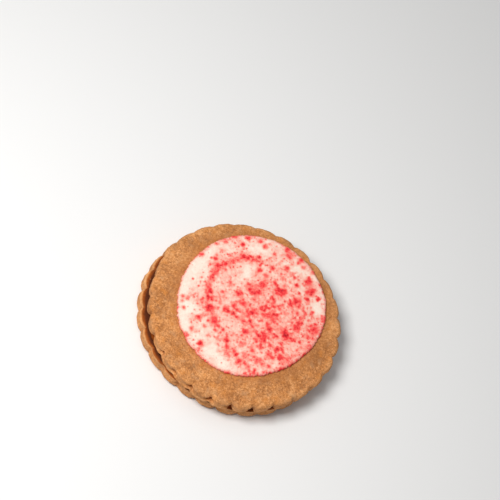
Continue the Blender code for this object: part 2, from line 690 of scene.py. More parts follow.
class Rim:
    """What the shaping of a turned biscuit reads at each point: its place, and windows on it."""

    def __init__(self, graph: ShapeGraph) -> None:
        """Works out each point's distance and direction from the axis.

        Args:
            graph: The tree.
        """
        self.graph = graph
        self.x, self.y, self.z = graph.split(graph.place())
        self.reach = graph.length(self.x, self.y)
        self.angle = graph.math("ARCTAN2", self.y, self.x)

    def facing(self, side: str) -> Term:
        """Returns 1 where the rim faces the named side, 0.5 a quarter turn away and 0 behind."""
        turn = self.angle - self.graph.given(side + " Angle")
        return self.graph.math("COSINE", turn) * 0.5 + 0.5

    def above(self, low: float, high: float) -> Term:
        """Goes from 0 to 1 as the height goes from low to high, in heights of the neck."""
        neck = self.graph.given("Neck Height")
        return self.graph.smooth(self.z, neck * low, neck * high)

    def beyond(self, low: Plain, high: Plain) -> Term:
        """Goes from 0 to 1 as the distance in from the biscuit's radius goes from low to high."""
        radius = self.graph.given("Radius")
        return self.graph.smooth(self.reach, radius - low, radius - high)


@dataclass
class FlutedBiscuit:
    """One spiced biscuit, cut with a fluted cutter and baked on its flat base.

    Directions are those before it is turned over and turned about Z.
    """

    name: str
    seed: float
    # It is out of round by soft corners.
    corners: int
    corner_size: float
    corner_angle: float
    shift: tuple[float, float]
    turn: float
    turned_over: bool
    fine_from: float  # radius that the section's fine steps start from
    radius: float = 37.5 * MM
    thickness: float = 5.6 * MM
    crown: float = 0.45 * MM
    rounding: float = 1.9 * MM
    shoulder_width: float = 1.5 * MM
    neck_depth: float = 0.35 * MM
    neck_height: float = 1.4 * MM
    foot_depth: float = 0.30 * MM
    foot_height: float = 0.9 * MM
    foot_edge: float = 0.4 * MM
    step: float = 0.3 * MM
    # Flutes: a higher power makes a flatter lobe and a narrower valley.
    flute_depth: float = 1.55 * MM
    lobe_power: float = 3.0
    cusp: float = 0.016
    fade: float = 3.4 * MM
    top_loss: float = 0.35
    unevenness: float = 0.2
    chance_depth: float = 0.4
    bulge: float = 0.2 * MM
    # Notches: in the foot of each valley, widest at the bottom.
    notch_depth: float = 1.9 * MM
    notch_width: float = 3.2 * MM
    notch_height: float = 3.6 * MM
    # Pockets: above the lip, where the foot runs on as a lip past the valleys.
    pocket: float = 1.9 * MM
    tongue_power: float = 2.5
    lip_deepening: float = 0.25
    # The foot: how far it rises in the valleys and sinks under the lobes.
    lift: float = 1.1 * MM
    droop: float = 0.6 * MM
    dish: float = 0.3 * MM
    soak: float = 0.2 * MM  # the base is painted dark, as jam stain and painted shade, up to here from its edge
    # Stretches of the rim: shallower flutes, the lip, two pressed-in ones, and one with a dry base, where
    # less jam stain and painted shade is laid.
    slack: Side = Side()
    lip: Side = Side()
    flat: Side = Side()
    dent: Side = Side()
    dry: Side = Side()
    # A round place where the crust is moist from the icing.
    moist_centre: tuple[float, float] = (0.0, 0.0)
    moist_reach: float = 0.0
    # Relief of the whole surface: the width and the height of each kind.
    swellings: tuple[float, float] = (11 * MM, 0.38 * MM)
    dimples: tuple[float, float] = (3.0 * MM, 0.34 * MM)
    grain: tuple[float, float] = (1.0 * MM, 0.32 * MM)
    pits: tuple[float, float] = (5.5 * MM, 0.35 * MM)
    rag: tuple[float, float] = (1.7 * MM, 1.0 * MM)

    # Fields that the Geometry Nodes tree takes as inputs
    SIZES = (
        "radius", "thickness", "crown", "neck_height", "corners", "corner_size", "corner_angle", "seed",
        "flute_depth", "lobe_power", "fade", "unevenness", "notch_depth", "notch_width", "notch_height",
        "pocket", "tongue_power", "lift", "droop", "soak", "moist_reach",
    )
    SIDES = ("slack", "lip", "flat", "dent", "dry")

    def corner_points(self) -> list[tuple[float, float]]:
        """Returns the section's main points, from the crown down to the base: (radius, height)."""
        corner = self.radius - self.shoulder_width
        shoulder = self.thickness - self.rounding
        foot, edge = self.radius - self.foot_depth, self.foot_edge
        arc = [pi / 2 * (1 - k / 12) for k in range(13)]
        return [
            (self.fine_from, self.thickness),
            *[(corner + self.shoulder_width * cos(a), shoulder + self.rounding * sin(a)) for a in arc],
            (self.radius - self.neck_depth, self.neck_height),
            (foot, max(self.foot_height, edge * 1.1)),
            *[(foot - edge * (1 - cos(a)), edge * (1 - sin(a))) for a in reversed(arc[::2])],
            (self.radius - 5 * MM, 0.0),
        ]

    def section(self) -> list[tuple[float, float]]:
        """Returns the section with points at every step, from the crown's middle to the base's."""
        corners = self.corner_points()
        points = [(0.0, self.thickness), (self.fine_from / 2, self.thickness), corners[0]]
        for (r0, z0), (r1, z1) in zip(corners, corners[1:]):
            count = max(1, round(hypot(r1 - r0, z1 - z0) / self.step))
            shares = [k / count for k in range(1, count + 1)]
            points += [(r0 + (r1 - r0) * share, z0 + (z1 - z0) * share) for share in shares]
        return [*points, (0.0, 0.0)]

    def turned(self) -> bpy.types.Object:
        """Returns an object whose section is turned about Z by a Screw modifier."""
        outline = bpy.data.meshes.new(self.name)
        points = [(r, 0.0, z) for r, z in self.section()]
        outline.from_pydata(points, [(i, i + 1) for i in range(len(points) - 1)], [])
        blank = bpy.data.objects.new(self.name + "_blank", outline)
        bpy.context.scene.collection.objects.link(blank)
        screw = blank.modifiers.new("Turn", "SCREW")
        screw.axis = "Z"
        screw.steps = screw.render_steps = FLUTES * STEPS_PER_FLUTE
        screw.use_merge_vertices = True
        screw.merge_threshold = 0.01 * MM
        return blank

    def baking(self, finish: bpy.types.Material) -> ShapeGraph:
        """Builds the tree that flutes the turned shape and gives it its baked relief.

        Args:
            finish: The crust's material.

        Returns:
            The tree.
        """
        values = {name.replace("_", " ").title(): getattr(self, name) for name in self.SIZES}
        for name in self.SIDES:
            side = getattr(self, name)
            values[name.title() + " Angle"] = radians(side.degrees)
            values[name.title() + " Amount"] = side.amount
        values["Flutes"] = FLUTES
        values["Moist X"], values["Moist Y"] = self.moist_centre
        values["Finish"] = finish
        graph = ShapeGraph("bake_" + self.name, values)
        self.flute(graph)
        self.roughen(graph)
        return graph

    def flute(self, graph: ShapeGraph) -> None:
        """Draws the wall in between the lobes, shapes the foot, and stores where the valleys and pockets
        are, for the painted shade in them.

        Args:
            graph: The tree, whose shape is still as turned.
        """
        rim = Rim(graph)
        flutes = graph.given("Flutes")
        along = rim.angle * flutes / tau
        fold = abs(graph.math("FRACT", along) * 2 - 1)
        lobe_chance = graph.chance(graph.math("FLOOR", along), flutes)
        valley_chance = graph.chance(graph.math("FLOOR", along + 0.5), flutes)

        slack = rim.facing("Slack")
        worn = 1 - graph.given("Slack Amount") * slack * slack
        lobe = 1 - fold ** graph.given("Lobe Power")
        valley = graph.math("MAXIMUM", 1 - graph.math("SQRT", lobe * lobe + self.cusp), 0.0)
        inward = rim.beyond(graph.given("Fade"), 0.3 * MM) * (1 - rim.above(1.8, 3.6) * self.top_loss)
        wall = rim.above(0.6, 1.5)
        lip = graph.smooth(rim.facing("Lip") + valley_chance * 0.03, 0.92, 0.965)
        lip = lip * graph.given("Lip Amount")
        share = inward * valley * (1 - (1 - wall) * lip * (1 - valley_chance * 0.25))
        wander = graph.math("SINE", rim.angle * 5 + graph.given("Corner Angle"))
        uneven = (wander * graph.given("Unevenness") + 1) * worn
        uneven = uneven * (valley_chance * self.chance_depth + (1 - self.chance_depth / 2))
        depth = graph.given("Flute Depth") * uneven * share * (1 + lip * wall * self.lip_deepening)

        tongue = fold ** graph.given("Tongue Power")
        pocket = rim.above(0.7, 1.3) * rim.above(2.9, 1.5) * inward * tongue * lip
        notch = self.notch(graph, rim, fold) * (1 - lip) * graph.smooth(worn, 0.75, 0.95)
        depth = depth + graph.given("Pocket") * pocket + graph.given("Notch Depth") * notch * inward
        bulge = (lobe_chance - 0.6) * self.bulge * inward * (1 - valley)
        scale = self.new_reach(graph, rim, bulge - depth) / graph.math("MAXIMUM", rim.reach, 0.001 * MM)

        foot = rim.above(1.6, 0.5) * rim.beyond(4.5 * MM, 1.2 * MM)
        rise = graph.given("Lift") * uneven * valley**0.8 * foot
        rise = rise - graph.given("Droop") * (1 - valley) * foot + self.dish_base(graph, rim)
        height = rim.z / graph.given("Thickness")
        drop = graph.given("Crown") * rim.beyond(9 * MM, 0.0) * height * height
        # painted shade: how much the valleys and the pockets above the lips are darkened
        graph.store("valley", valley**2 * share + pocket * 1.2)
        place = graph.join(rim.x * scale, rim.y * scale, rim.z + rise - drop)
        graph.then("GeometryNodeSetPosition", {"Position": place})

    def notch(self, graph: ShapeGraph, rim: Rim, fold: Term) -> Term:
        """Returns the shape of the notches: 1 deep inside one and 0 beside it.

        Args:
            graph: The tree.
            rim: The points' places.
            fold: 0 in the middle of a lobe and 1 at the bottom of a valley.

        Returns:
            The share of the notch's depth at each point.
        """
        rise = graph.math("MAXIMUM", 1 - rim.z / graph.given("Notch Height"), 0.0)
        half_width = graph.given("Notch Width") * 0.5 * rise + 0.01 * MM
        beside = (1 - fold) * graph.given("Radius") * pi / graph.given("Flutes")
        return graph.smooth(beside, half_width, half_width * 0.25) * rise**0.5

    def new_reach(self, graph: ShapeGraph, rim: Rim, change: Term) -> Term:
        """Changes each point's distance from the axis, and makes the biscuit out of round and pressed in.

        Args:
            graph: The tree.
            rim: The points' places.
            change: The change of the distance.

        Returns:
            The new distance.
        """
        turn = (rim.angle - graph.given("Corner Angle")) * graph.given("Corners")
        outward = rim.reach / graph.given("Radius")
        reach = rim.reach + graph.math("COSINE", turn) * graph.given("Corner Size") * outward + change
        for side in ("Flat", "Dent"):
            pressed = graph.smooth(rim.facing(side), 0.76, 1.0) * graph.given(side + " Amount")
            reach = reach - pressed * outward
        return reach

    def dish_base(self, graph: ShapeGraph, rim: Rim) -> Term:
        """Hollows the base and stores how dark it is painted near its edge: partly jam stain, partly
        painted shade under the upper biscuit.

        Args:
            graph: The tree.
            rim: The points' places.

        Returns:
            How far the base is hollowed at each point.
        """
        dry = graph.smooth(rim.facing("Dry"), 0.8, 1.0) * graph.given("Dry Amount")
        inset = graph.given("Radius") - graph.given("Soak") - dry - rim.reach
        base = graph.smooth(rim.z, 0.8 * MM, 0.4 * MM)
        edge, inside = graph.smooth(inset, 0.0, 0.7 * MM), graph.smooth(inset, 0.8 * MM, 2.0 * MM)
        # jam stain and painted shade on the base, in from its edge
        graph.store("seam", (edge * 0.5 + inside * 0.5) * base)
        return graph.smooth(inset, 0.0, 1.2 * MM) * base * self.dish

    def roughen(self, graph: ShapeGraph) -> None:
        """Gives the surface swellings, a sandy grain and pits, and stores the edges for their painted
        highlight, and the moist places.

        Args:
            graph: The tree, whose shape is already fluted.
        """
        rim = Rim(graph)
        seed = graph.given("Seed")
        inputs = {0: graph.place(), 1: graph.join(seed, seed, seed)}
        spot = graph.term("ShaderNodeVectorMath", inputs, operation="ADD")
        foot = rim.above(1.1, 0.7) * rim.beyond(3 * MM, 2 * MM)
        shoulder = rim.beyond(3.5 * MM, 1 * MM)
        height = graph.noise(spot, self.swellings[0], 1.0) * self.swellings[1]
        height = height + graph.noise(spot, self.dimples[0], 2.0, 1.0) * self.dimples[1]
        height = height + graph.noise(spot, self.grain[0], 2.0, 2.0) * self.grain[1]
        height = height - graph.spots(spot, self.pits[0], 0.0, (0.14, 0.04), (0.45, 0.6)) * self.pits[1]
        ragged = graph.noise(spot, self.rag[0], 3.0, 5.0) * (foot * 0.5 + shoulder * 0.3)
        height = height + ragged * self.rag[1]

        # painted highlight: the foot's lip and the shoulder are marked to be lightened
        edge = graph.math("MAXIMUM", foot * rim.beyond(1.8 * MM, 0.7 * MM), shoulder * 0.3)
        graph.store("edge", edge)
        across = graph.length(rim.x - graph.given("Moist X"), rim.y - graph.given("Moist Y"))
        moist_reach = graph.given("Moist Reach")
        graph.store("moist", graph.smooth(across, moist_reach + 5 * MM, moist_reach))
        offset = graph.scaled(graph.term("GeometryNodeInputNormal"), height)
        graph.then("GeometryNodeSetPosition", {"Offset": offset})

    def build(self, finish: bpy.types.Material) -> None:
        """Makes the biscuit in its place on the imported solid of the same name.

        Args:
            finish: The crust's material.
        """
        low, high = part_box(self.name)
        blank = self.turned()
        self.baking(finish).run(blank)
        mesh = blank.data
        bpy.data.objects.remove(blank)
        base_height = high.z if self.turned_over else low.z
        over = Euler((pi if self.turned_over else 0.0, 0.0, self.turn)).to_matrix().to_4x4()
        mesh.transform(Matrix.Translation((*self.shift, base_height)) @ over)
        points = points_of(mesh)
        points[:, 2] = np.maximum(points[:, 2], low.z)
        mesh.vertices.foreach_set("co", points.astype(np.float32).ravel())
        mesh.update()
        mesh.shade_smooth()
        add_piece("baked_" + self.name, mesh, self.name, slot=Slot.BISCUIT)


# ---- Jam ----


@dataclass
class JamLayer:
    """The thin jam between the two bases. It reaches into both, and bulges out here and there."""

    seed: int = 5
    radius: float = 34.4 * MM
    overlap: float = 0.6 * MM
    segments: int = 420
    # Width and size of the swellings along its edge, broad and fine
    broad: tuple[float, float] = (9 * MM, 0.55 * MM)
    fine: tuple[float, float] = (2.5 * MM, 0.15 * MM)
    # The edge from its outermost ring inwards: distance in, and height in half thicknesses
    edge: tuple = ((0.0, 0.0), (0.15 * MM, 0.5), (0.55 * MM, 0.9), (1.2 * MM, 1.0), (8 * MM, 1.0))

    def build(self, finish: bpy.types.Material) -> None:
        """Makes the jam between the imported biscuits.

        Args:
            finish: The jam's material.
        """
        low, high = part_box("jam_filling")
        middle = (low + high) / 2
        half = (high.z - low.z) / 2 + self.overlap
        angles = np.linspace(0, tau, self.segments, endpoint=False)
        circle = np.column_stack([np.cos(angles), np.sin(angles)])
        reach = self.radius
        for offset, (width, size) in enumerate((self.broad, self.fine)):
            reach = reach + size * Ripples(self.seed + offset, width, 30)(*(circle * self.radius).T)
        levels = [*reversed(self.edge), *((inset, -rise) for inset, rise in self.edge[1:])]
        rings = []
        for inset, rise in levels:
            flat = circle * (reach - inset)[:, None] + middle[:2]
            rings.append(np.column_stack([flat, np.full(len(flat), middle.z + rise * half)]))
        mesh = ring_mesh("jam", rings)
        mesh.materials.append(finish)
        add_piece("spread_jam", mesh, "jam_filling", slot=Slot.JAM)


# ---- Sugar and icing ----


@dataclass
class Dusting:
    """Where the red sugar fell on the icing, in millimetres from the middle of the upper biscuit."""

    seed: int = 11
    grains: int = 3000
    blots: int = 1500
    half_size: float = 36.0
    cell: float = 0.1
    wash: float = 0.065
    spread: float = 0.22
    stroke_wash: float = 0.28
    gain: float = 1.5
    # Thick spots: x, y, radius and amount
    clumps: tuple = (
        (-1.6, 9.2, 1.2, 0.7), (-1.0, 14.0, 1.2, 0.5), (-6.6, 4.4, 0.8, 1.1), (-2.6, 2.3, 0.9, 0.6),
        (1.9, 1.4, 0.9, 1.0), (3.9, -6.7, 0.9, 1.3), (17.2, 1.8, 0.8, 1.1), (15.0, 3.2, 1.2, 0.7),
        (18.1, 7.6, 1.2, 0.7), (12.0, 26.5, 1.2, 0.9), (2.4, 25.5, 0.9, 0.8), (-1.4, 32.2, 0.9, 1.0),
        (23.8, 11.0, 1.8, 0.7), (10.8, -5.0, 1.2, 0.8), (-6.6, -4.0, 1.0, 0.6), (-11.3, -7.0, 1.0, 0.7),
        (-7.5, -11.0, 1.2, 0.7), (-12.5, -13.5, 0.8, 0.8), (-6.5, -21.5, 0.9, 1.0), (0.3, -14.3, 0.9, 0.7),
        (8.4, -18.0, 1.2, 0.7), (16.0, -8.6, 1.1, 0.6), (19.4, -6.5, 0.9, 0.7), (13.0, 16.6, 1.3, 0.5),
        (6.6, 16.5, 1.1, 0.5), (7.5, 4.8, 1.2, 0.6), (14.8, 23.1, 1.0, 0.6), (15.3, 19.9, 0.6, 1.1),
        (-12.5, -22.0, 0.8, 0.7), (-25.8, 8.5, 0.8, 0.8), (13.8, -13.0, 1.0, 0.5), (-21.3, 18.8, 0.6, 0.6),
    )
    # Clean places: x, y, radius along X, radius along Y
    bare: tuple = (
        (-24.6, 0.0, 3.4, 14.0), (-18.0, -16.0, 3.5, 5.0), (-10.0, -20.0, 8.0, 3.0), (4.0, -23.0, 8.0, 3.0),
        (-9.0, 26.0, 5.0, 4.0), (10.0, 29.0, 8.0, 3.6), (20.5, 20.0, 2.8, 5.0), (-8.0, 12.0, 2.4, 4.6),
    )
    # A curved stroke of thicker sugar: its circle, its width and the directions of its two ends
    stroke_middle: tuple[float, float] = (-0.6, 5.4)
    stroke_radius: float = 17.1
    stroke_width: float = 1.2
    stroke_ends: tuple[float, float] = (radians(122), radians(228))

    def __post_init__(self) -> None:
        """Scatters the sugar and lets its colour run."""
        self.chance = np.random.default_rng(self.seed)
        cells = int(2 * self.half_size / self.cell) + 1
        self.field = np.zeros((cells, cells))
        for x, y, share in zip(*self.scatter(self.blots)):
            self.run_colour(x, y, 0.35 + 0.8 * share, 0.05 + 0.9 * self.chance.uniform() ** 4)
        self.x, self.y, share = self.scatter(self.grains)
        self.size = 0.08 + 0.13 * share
        thick = self.density(self.x, self.y)
        self.tone = np.clip(0.15 + 0.6 * thick * self.chance.uniform(0, 1, len(share)) ** 2, 0, 1)
        for x, y, size in zip(self.x, self.y, self.size):
            self.run_colour(x, y, size * self.chance.uniform(1.3, 2.3), 0.85 * self.chance.uniform() ** 3)
        for x, y, radius, amount in self.clumps:
            self.run_colour(x, y, radius, 0.9 * amount)

    def stroke(self, x: np.ndarray, y: np.ndarray) -> np.ndarray:
        """Works out the curved stroke.

        Args:
            x: Places along X, in millimetres.
            y: Places along Y.

        Returns:
            How much of it lies there, from 0 to 1.
        """
        dx, dy = x - self.stroke_middle[0], y - self.stroke_middle[1]
        across = (np.hypot(dx, dy) - self.stroke_radius) / self.stroke_width
        turn = np.arctan2(dy, dx) % tau
        start, end = self.stroke_ends
        outside = np.maximum(0, np.maximum(start - turn, turn - end)) * 4
        return np.exp(-across**2 - outside**2)

    def density(self, x: np.ndarray, y: np.ndarray) -> np.ndarray:
        """Works out how thickly the sugar lies.

        Args:
            x: Places along X, in millimetres.
            y: Places along Y.

        Returns:
            Its thickness there, from 0 to about 2.
        """
        thick = 0.76 + 0.15 * Ripples(self.seed + 1, 8.0, 40)(x, y) + 0.006 * x
        thick += 0.36 * np.exp(-((x - 6) ** 2 + (y - 4) ** 2) / 16**2)
        for bx, by, rx, ry in self.bare:
            thick -= 0.75 * np.exp(-((x - bx) / rx) ** 2 - ((y - by) / ry) ** 2)
        thick = np.clip(thick, 0.04, None) + 1.1 * self.stroke(x, y)
        for cx, cy, radius, amount in self.clumps:
            thick += 0.6 * amount * np.exp(-((x - cx) ** 2 + (y - cy) ** 2) / (1.5 * radius) ** 2)
        return thick

    def scatter(self, count: int) -> tuple[np.ndarray, np.ndarray, np.ndarray]:
        """Chooses chance places, more of them where the sugar lies thicker.

        Args:
            count: The most places that it gives.

        Returns:
            Their x and y, and a chance share from 0 to 1 for each.
        """
        tries = count * 12
        x = self.chance.uniform(-30, 30, tries)
        y = self.chance.uniform(-30, 36, tries)
        kept = self.chance.uniform(0, 2.2, tries) < self.density(x, y)
        x, y = x[kept][:count], y[kept][:count]
        return x, y, self.chance.beta(1.6, 3.2, len(x))

    def run_colour(self, x: float, y: float, radius: float, amount: float) -> None:
        """Adds a soft round stain to the field.

        Args:
            x: Its middle along X, in millimetres.
            y: Its middle along Y.
            radius: Its radius.
            amount: Its depth of colour.
        """
        reach = int(2.5 * radius / self.cell) + 1
        row, column = ((v + self.half_size) / self.cell for v in (y, x))
        top, left = int(row) - reach, int(column) - reach
        rows = np.arange(max(top, 0), min(int(row) + reach, len(self.field)))
        columns = np.arange(max(left, 0), min(int(column) + reach, len(self.field)))
        distance = ((rows[:, None] - row) ** 2 + (columns[None] - column) ** 2) * self.cell**2
        self.field[np.ix_(rows, columns)] += amount * np.exp(-distance / radius**2)

    def dye(self, x: np.ndarray, y: np.ndarray) -> np.ndarray:
        """Works out the icing's depth of colour.

        Args:
            x: Places along X, in millimetres.
            y: Places along Y.

        Returns:
            The depth of colour there, from 0 to 1.
        """
        column = np.clip((x + self.half_size) / self.cell, 0, len(self.field) - 2)
        row = np.clip((y + self.half_size) / self.cell, 0, len(self.field) - 2)
        c, r = column.astype(int), row.astype(int)
        fc, fr = column - c, row - r
        upper = self.field[r, c] * (1 - fc) + self.field[r, c + 1] * fc
        lower = self.field[r + 1, c] * (1 - fc) + self.field[r + 1, c + 1] * fc
        amount = upper * (1 - fr) + lower * fr
        coarse, fine = Ripples(self.seed + 2, 2.0, 60), Ripples(self.seed + 3, 0.9, 60)
        mottle = 1 + 0.16 * coarse(x, y) + 0.06 * fine(x, y)
        wash = self.wash + self.spread * np.clip(self.density(x, y), 0, 1.3)
        wash = wash + self.stroke_wash * self.stroke(x, y)
        return 1 - np.exp(-np.clip(mottle, 0.1, None) * (self.gain * amount + wash))


@dataclass
class Icing:
    """The low disc of icing, with an uneven edge and slow swellings on top."""

    dusting: Dusting
    centre: Vector
    radius: float = ICING_RADIUS
    stretch: float = 1.5 * MM
    axis: float = radians(78)
    lobes: float = 0.4 * MM
    offset: float = ICING_OFFSET
    thickness: float = 1.45 * MM
    edge: float = 1.1 * MM
    overhang: float = 0.45 * MM
    undercut: float = 0.4 * MM
    sink: float = 0.4 * MM
    border: float = 0.45 * MM
    border_dye: float = 0.3
    rings: int = 140
    seed: int = 21
    base: float = field(init=False)

    def __post_init__(self) -> None:
        """Finds the height of the biscuit's top, which the icing lies on."""
        self.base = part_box("upper_biscuit")[1].z
        self.swell = Ripples(self.seed, 11 * MM, 24)
        self.lumps = Ripples(self.seed + 1, 2.4 * MM, 40)
        self.jags = Ripples(self.seed + 2, 1.8 * MM, 60)
        self.teeth = Ripples(self.seed + 4, 0.8 * MM, 60)
        self.bays = Ripples(self.seed + 3, 7 * MM, 30)

    def outline(self, angle: np.ndarray) -> np.ndarray:
        """Draws the icing's outline.

        Args:
            angle: Directions from the icing's own middle.

        Returns:
            The reach of the icing in each direction.
        """
        smooth = self.radius + self.stretch * np.cos(2 * (angle - self.axis))
        smooth = smooth + self.lobes * np.sin(3 * angle)
        return smooth + 0.08 * MM * self.bays(smooth * np.cos(angle), smooth * np.sin(angle))

    def ragged(self, angle: np.ndarray, reach: np.ndarray, inset: np.ndarray) -> np.ndarray:
        """Makes the border crumble, less and less away from it.

        Args:
            angle: Direction of each point from the icing's middle.
            reach: Reach of the outline in that direction.
            inset: Distance of the point in from it.

        Returns:
            How far each point moves outwards.
        """
        x, y = reach * np.cos(angle), reach * np.sin(angle)
        jags = 0.10 * MM * self.jags(x, y) + 0.07 * MM * self.teeth(x, y)
        return jags * np.exp(-inset / self.border)

    def height(self, x: np.ndarray, y: np.ndarray, inset: np.ndarray) -> np.ndarray:
        """Returns the top's height above the biscuit.

        Args:
            x: Place along X from the icing's middle.
            y: Place along Y from the icing's middle.
            inset: Distance in from the icing's edge.

        Returns:
            The height at each place.
        """
        rounding = np.clip(1 - inset / self.edge, 0, 1)
        dome = self.thickness * (0.90 + 0.10 * np.clip(inset / (10 * MM), 0, 1))
        relief = 0.05 * MM * self.swell(x, y) + 0.018 * MM * self.lumps(x, y)
        wall = self.overhang / self.thickness
        shoulder = wall + (1 - wall) * (1 - rounding**2.4) ** 0.5
        return dome * shoulder + relief * np.clip(inset / self.edge, 0, 1)

    def build(self, finish: bpy.types.Material) -> None:
        """Makes the icing on the upper biscuit.

        Args:
            finish: The icing's material.
        """
        ring, angle, quads = disc_grid(self.rings)
        rounded = self.edge * np.array([0.7, 0.45, 0.22, 0.1, 0.04, 0.01])
        inner = np.linspace(self.radius, self.edge, self.rings + 1 - len(rounded))
        insets = np.concatenate([inner, rounded])
        reach = self.outline(angle)
        inset = reach * insets[ring] / self.radius
        out = reach - inset + self.ragged(angle, reach, inset)
        x, y = out * np.cos(angle), out * np.sin(angle)
        top = np.column_stack([x, y, self.height(x, y, inset)])

        border = np.flatnonzero(ring == self.rings)
        border = border[np.argsort(angle[border])]
        half = self.overhang / 2
        skirt = []
        for under, level in ((0.0, half), (self.undercut / 2, half / 2), (self.undercut, -self.sink)):
            share = 1 - under / out[border]
            levels = np.full(len(border), level)
            skirt.append(np.column_stack([x[border] * share, y[border] * share, levels]))
        points = np.vstack([top, *skirt, [(0.0, 0.0, -self.sink)]])
        points += np.array([self.centre.x, self.centre.y + self.offset, self.base])
        rows = [border, *(len(top) + len(border) * k + np.arange(len(border)) for k in range(len(skirt)))]
        faces = quads.tolist()
        for upper, lower in zip(rows, rows[1:]):
            faces += np.column_stack([upper, lower, np.roll(lower, -1), np.roll(upper, -1)]).tolist()
        pole = np.full(len(border), len(points) - 1)
        faces += np.column_stack([pole, np.roll(rows[-1], -1), rows[-1]]).tolist()

        mesh = bpy.data.meshes.new("icing")
        mesh.from_pydata(points.tolist(), [], faces)
        mesh.shade_smooth()
        across = (points[:, :2] - np.array(self.centre[:2])) / MM
        dye = self.dusting.dye(across[:, 0], across[:, 1])
        inset = np.concatenate([inset, np.zeros(len(points) - len(inset))])
        dye = 1 - (1 - dye) * (1 - self.border_dye * np.exp(-inset / self.border))
        store_on_points(mesh, "dye", dye)
        mesh.materials.append(finish)
        add_piece("iced_top", mesh, "icing", slot=Slot.ICING)

    def surface(self, x: np.ndarray, y: np.ndarray) -> tuple[np.ndarray, np.ndarray]:
        """Finds the icing's top.

        Args:
            x: Places along X in the frame.
            y: Places along Y in the frame.

        Returns:
            The top's height in the frame and the distance in from the icing's edge.
        """
        dx, dy = x - self.centre.x, y - self.centre.y - self.offset
        angle = np.arctan2(dy, dx)
        inset = self.outline(angle) - np.hypot(dx, dy)
        return self.base + self.height(dx, dy, np.clip(inset, 0, None)), inset


@dataclass
class Crystals:
    """Sugar crystals of one kind, set into the icing's top."""

    name: str
    slot: Slot
    x: np.ndarray
    y: np.ndarray
    size: np.ndarray
    tone: np.ndarray
    seed: int
    round: bool = True  # near-round grains, or else blocks
    sunk: float = 0.35  # how deep its middle lies, in its own radius
    squeeze: tuple = ((0.7, 0.7, 0.6), (1.3, 1.2, 1.0))

    def points(self, icing: Icing) -> bpy.types.Object:
        """Sets a point where each crystal lies, which keeps the crystal's size and tone.

        Args:
            icing: The icing that they are set into.

        Returns:
            An object of these points.
        """
        z, inset = icing.surface(self.x, self.y)
        kept = inset > 0.05 * MM
        mesh = bpy.data.meshes.new(self.name)
        places = np.column_stack([self.x, self.y, z - self.sunk * self.size])[kept]
        mesh.from_pydata(places.tolist(), [], [])
        store_on_points(mesh, "size", self.size[kept])
        store_on_points(mesh, "tone", self.tone[kept])
        seat = bpy.data.objects.new(self.name + "_seat", mesh)
        bpy.context.scene.collection.objects.link(seat)
        return seat

    def growing(self, finish: bpy.types.Material) -> ShapeGraph:
        """Builds the tree that sets a crystal on each point, turned and squeezed by chance.

        Args:
            finish: Their material.

        Returns:
            The tree.
        """
        graph = ShapeGraph("grow_" + self.name, {"Seed": self.seed, "Finish": finish})
        if self.round:
            shape = graph.term("GeometryNodeMeshIcoSphere", {"Radius": 1.0, "Subdivisions": 1})
        else:
            shape = graph.term("GeometryNodeMeshCube", {"Size": (1.6, 1.6, 1.6)})
        seed = graph.given("Seed")
        size = graph.term("GeometryNodeInputNamedAttribute", {"Name": "size"}, data_type="FLOAT")
        graph.then("GeometryNodeInstanceOnPoints", {
            "Instance": shape,
            "Rotation": graph.random((0.0, 0.0, 0.0), (tau, tau, tau), seed),
            "Scale": graph.scaled(graph.random(*self.squeeze, seed + 1), size),
        })
        return graph

    def build(self, icing: Icing, finish: bpy.types.Material) -> None:
        """Makes the crystals on the icing.

        Args:
            icing: The icing that they are set into.
            finish: Their material.
        """
        seat = self.points(icing)
        self.growing(finish).run(seat)
        mesh = seat.data
        bpy.data.objects.remove(seat)
        mesh.shade_flat()
        add_piece(self.name, mesh, slot=self.slot)


# ---- Studio ----


@dataclass(frozen=True)
class Lamp:
    """A soft square light that faces the biscuit."""

    name: str
    azimuth: float  # its direction from +X, in degrees
    height: float  # its height above the floor's plane as seen from the biscuit, in degrees
    distance: float
    size: float
    power: float
    tint: Colour = (1.0, 1.0, 1.0)

    def build(self) -> None:
        """Adds the light."""
        data = bpy.data.lights.new(self.name, "AREA")
        data.shape = "SQUARE"
        data.size = self.size
        data.energy = self.power
        data.color = self.tint
        lamp = bpy.data.objects.new(self.name, data)
        bpy.context.scene.collection.objects.link(lamp)
        azimuth, height = radians(self.azimuth), radians(self.height)
        towards = Vector((cos(azimuth) * cos(height), sin(azimuth) * cos(height), sin(height)))
        lamp.location = towards * self.distance
        lamp.rotation_mode = "QUATERNION"
        lamp.rotation_quaternion = towards.to_track_quat("Z", "Y")


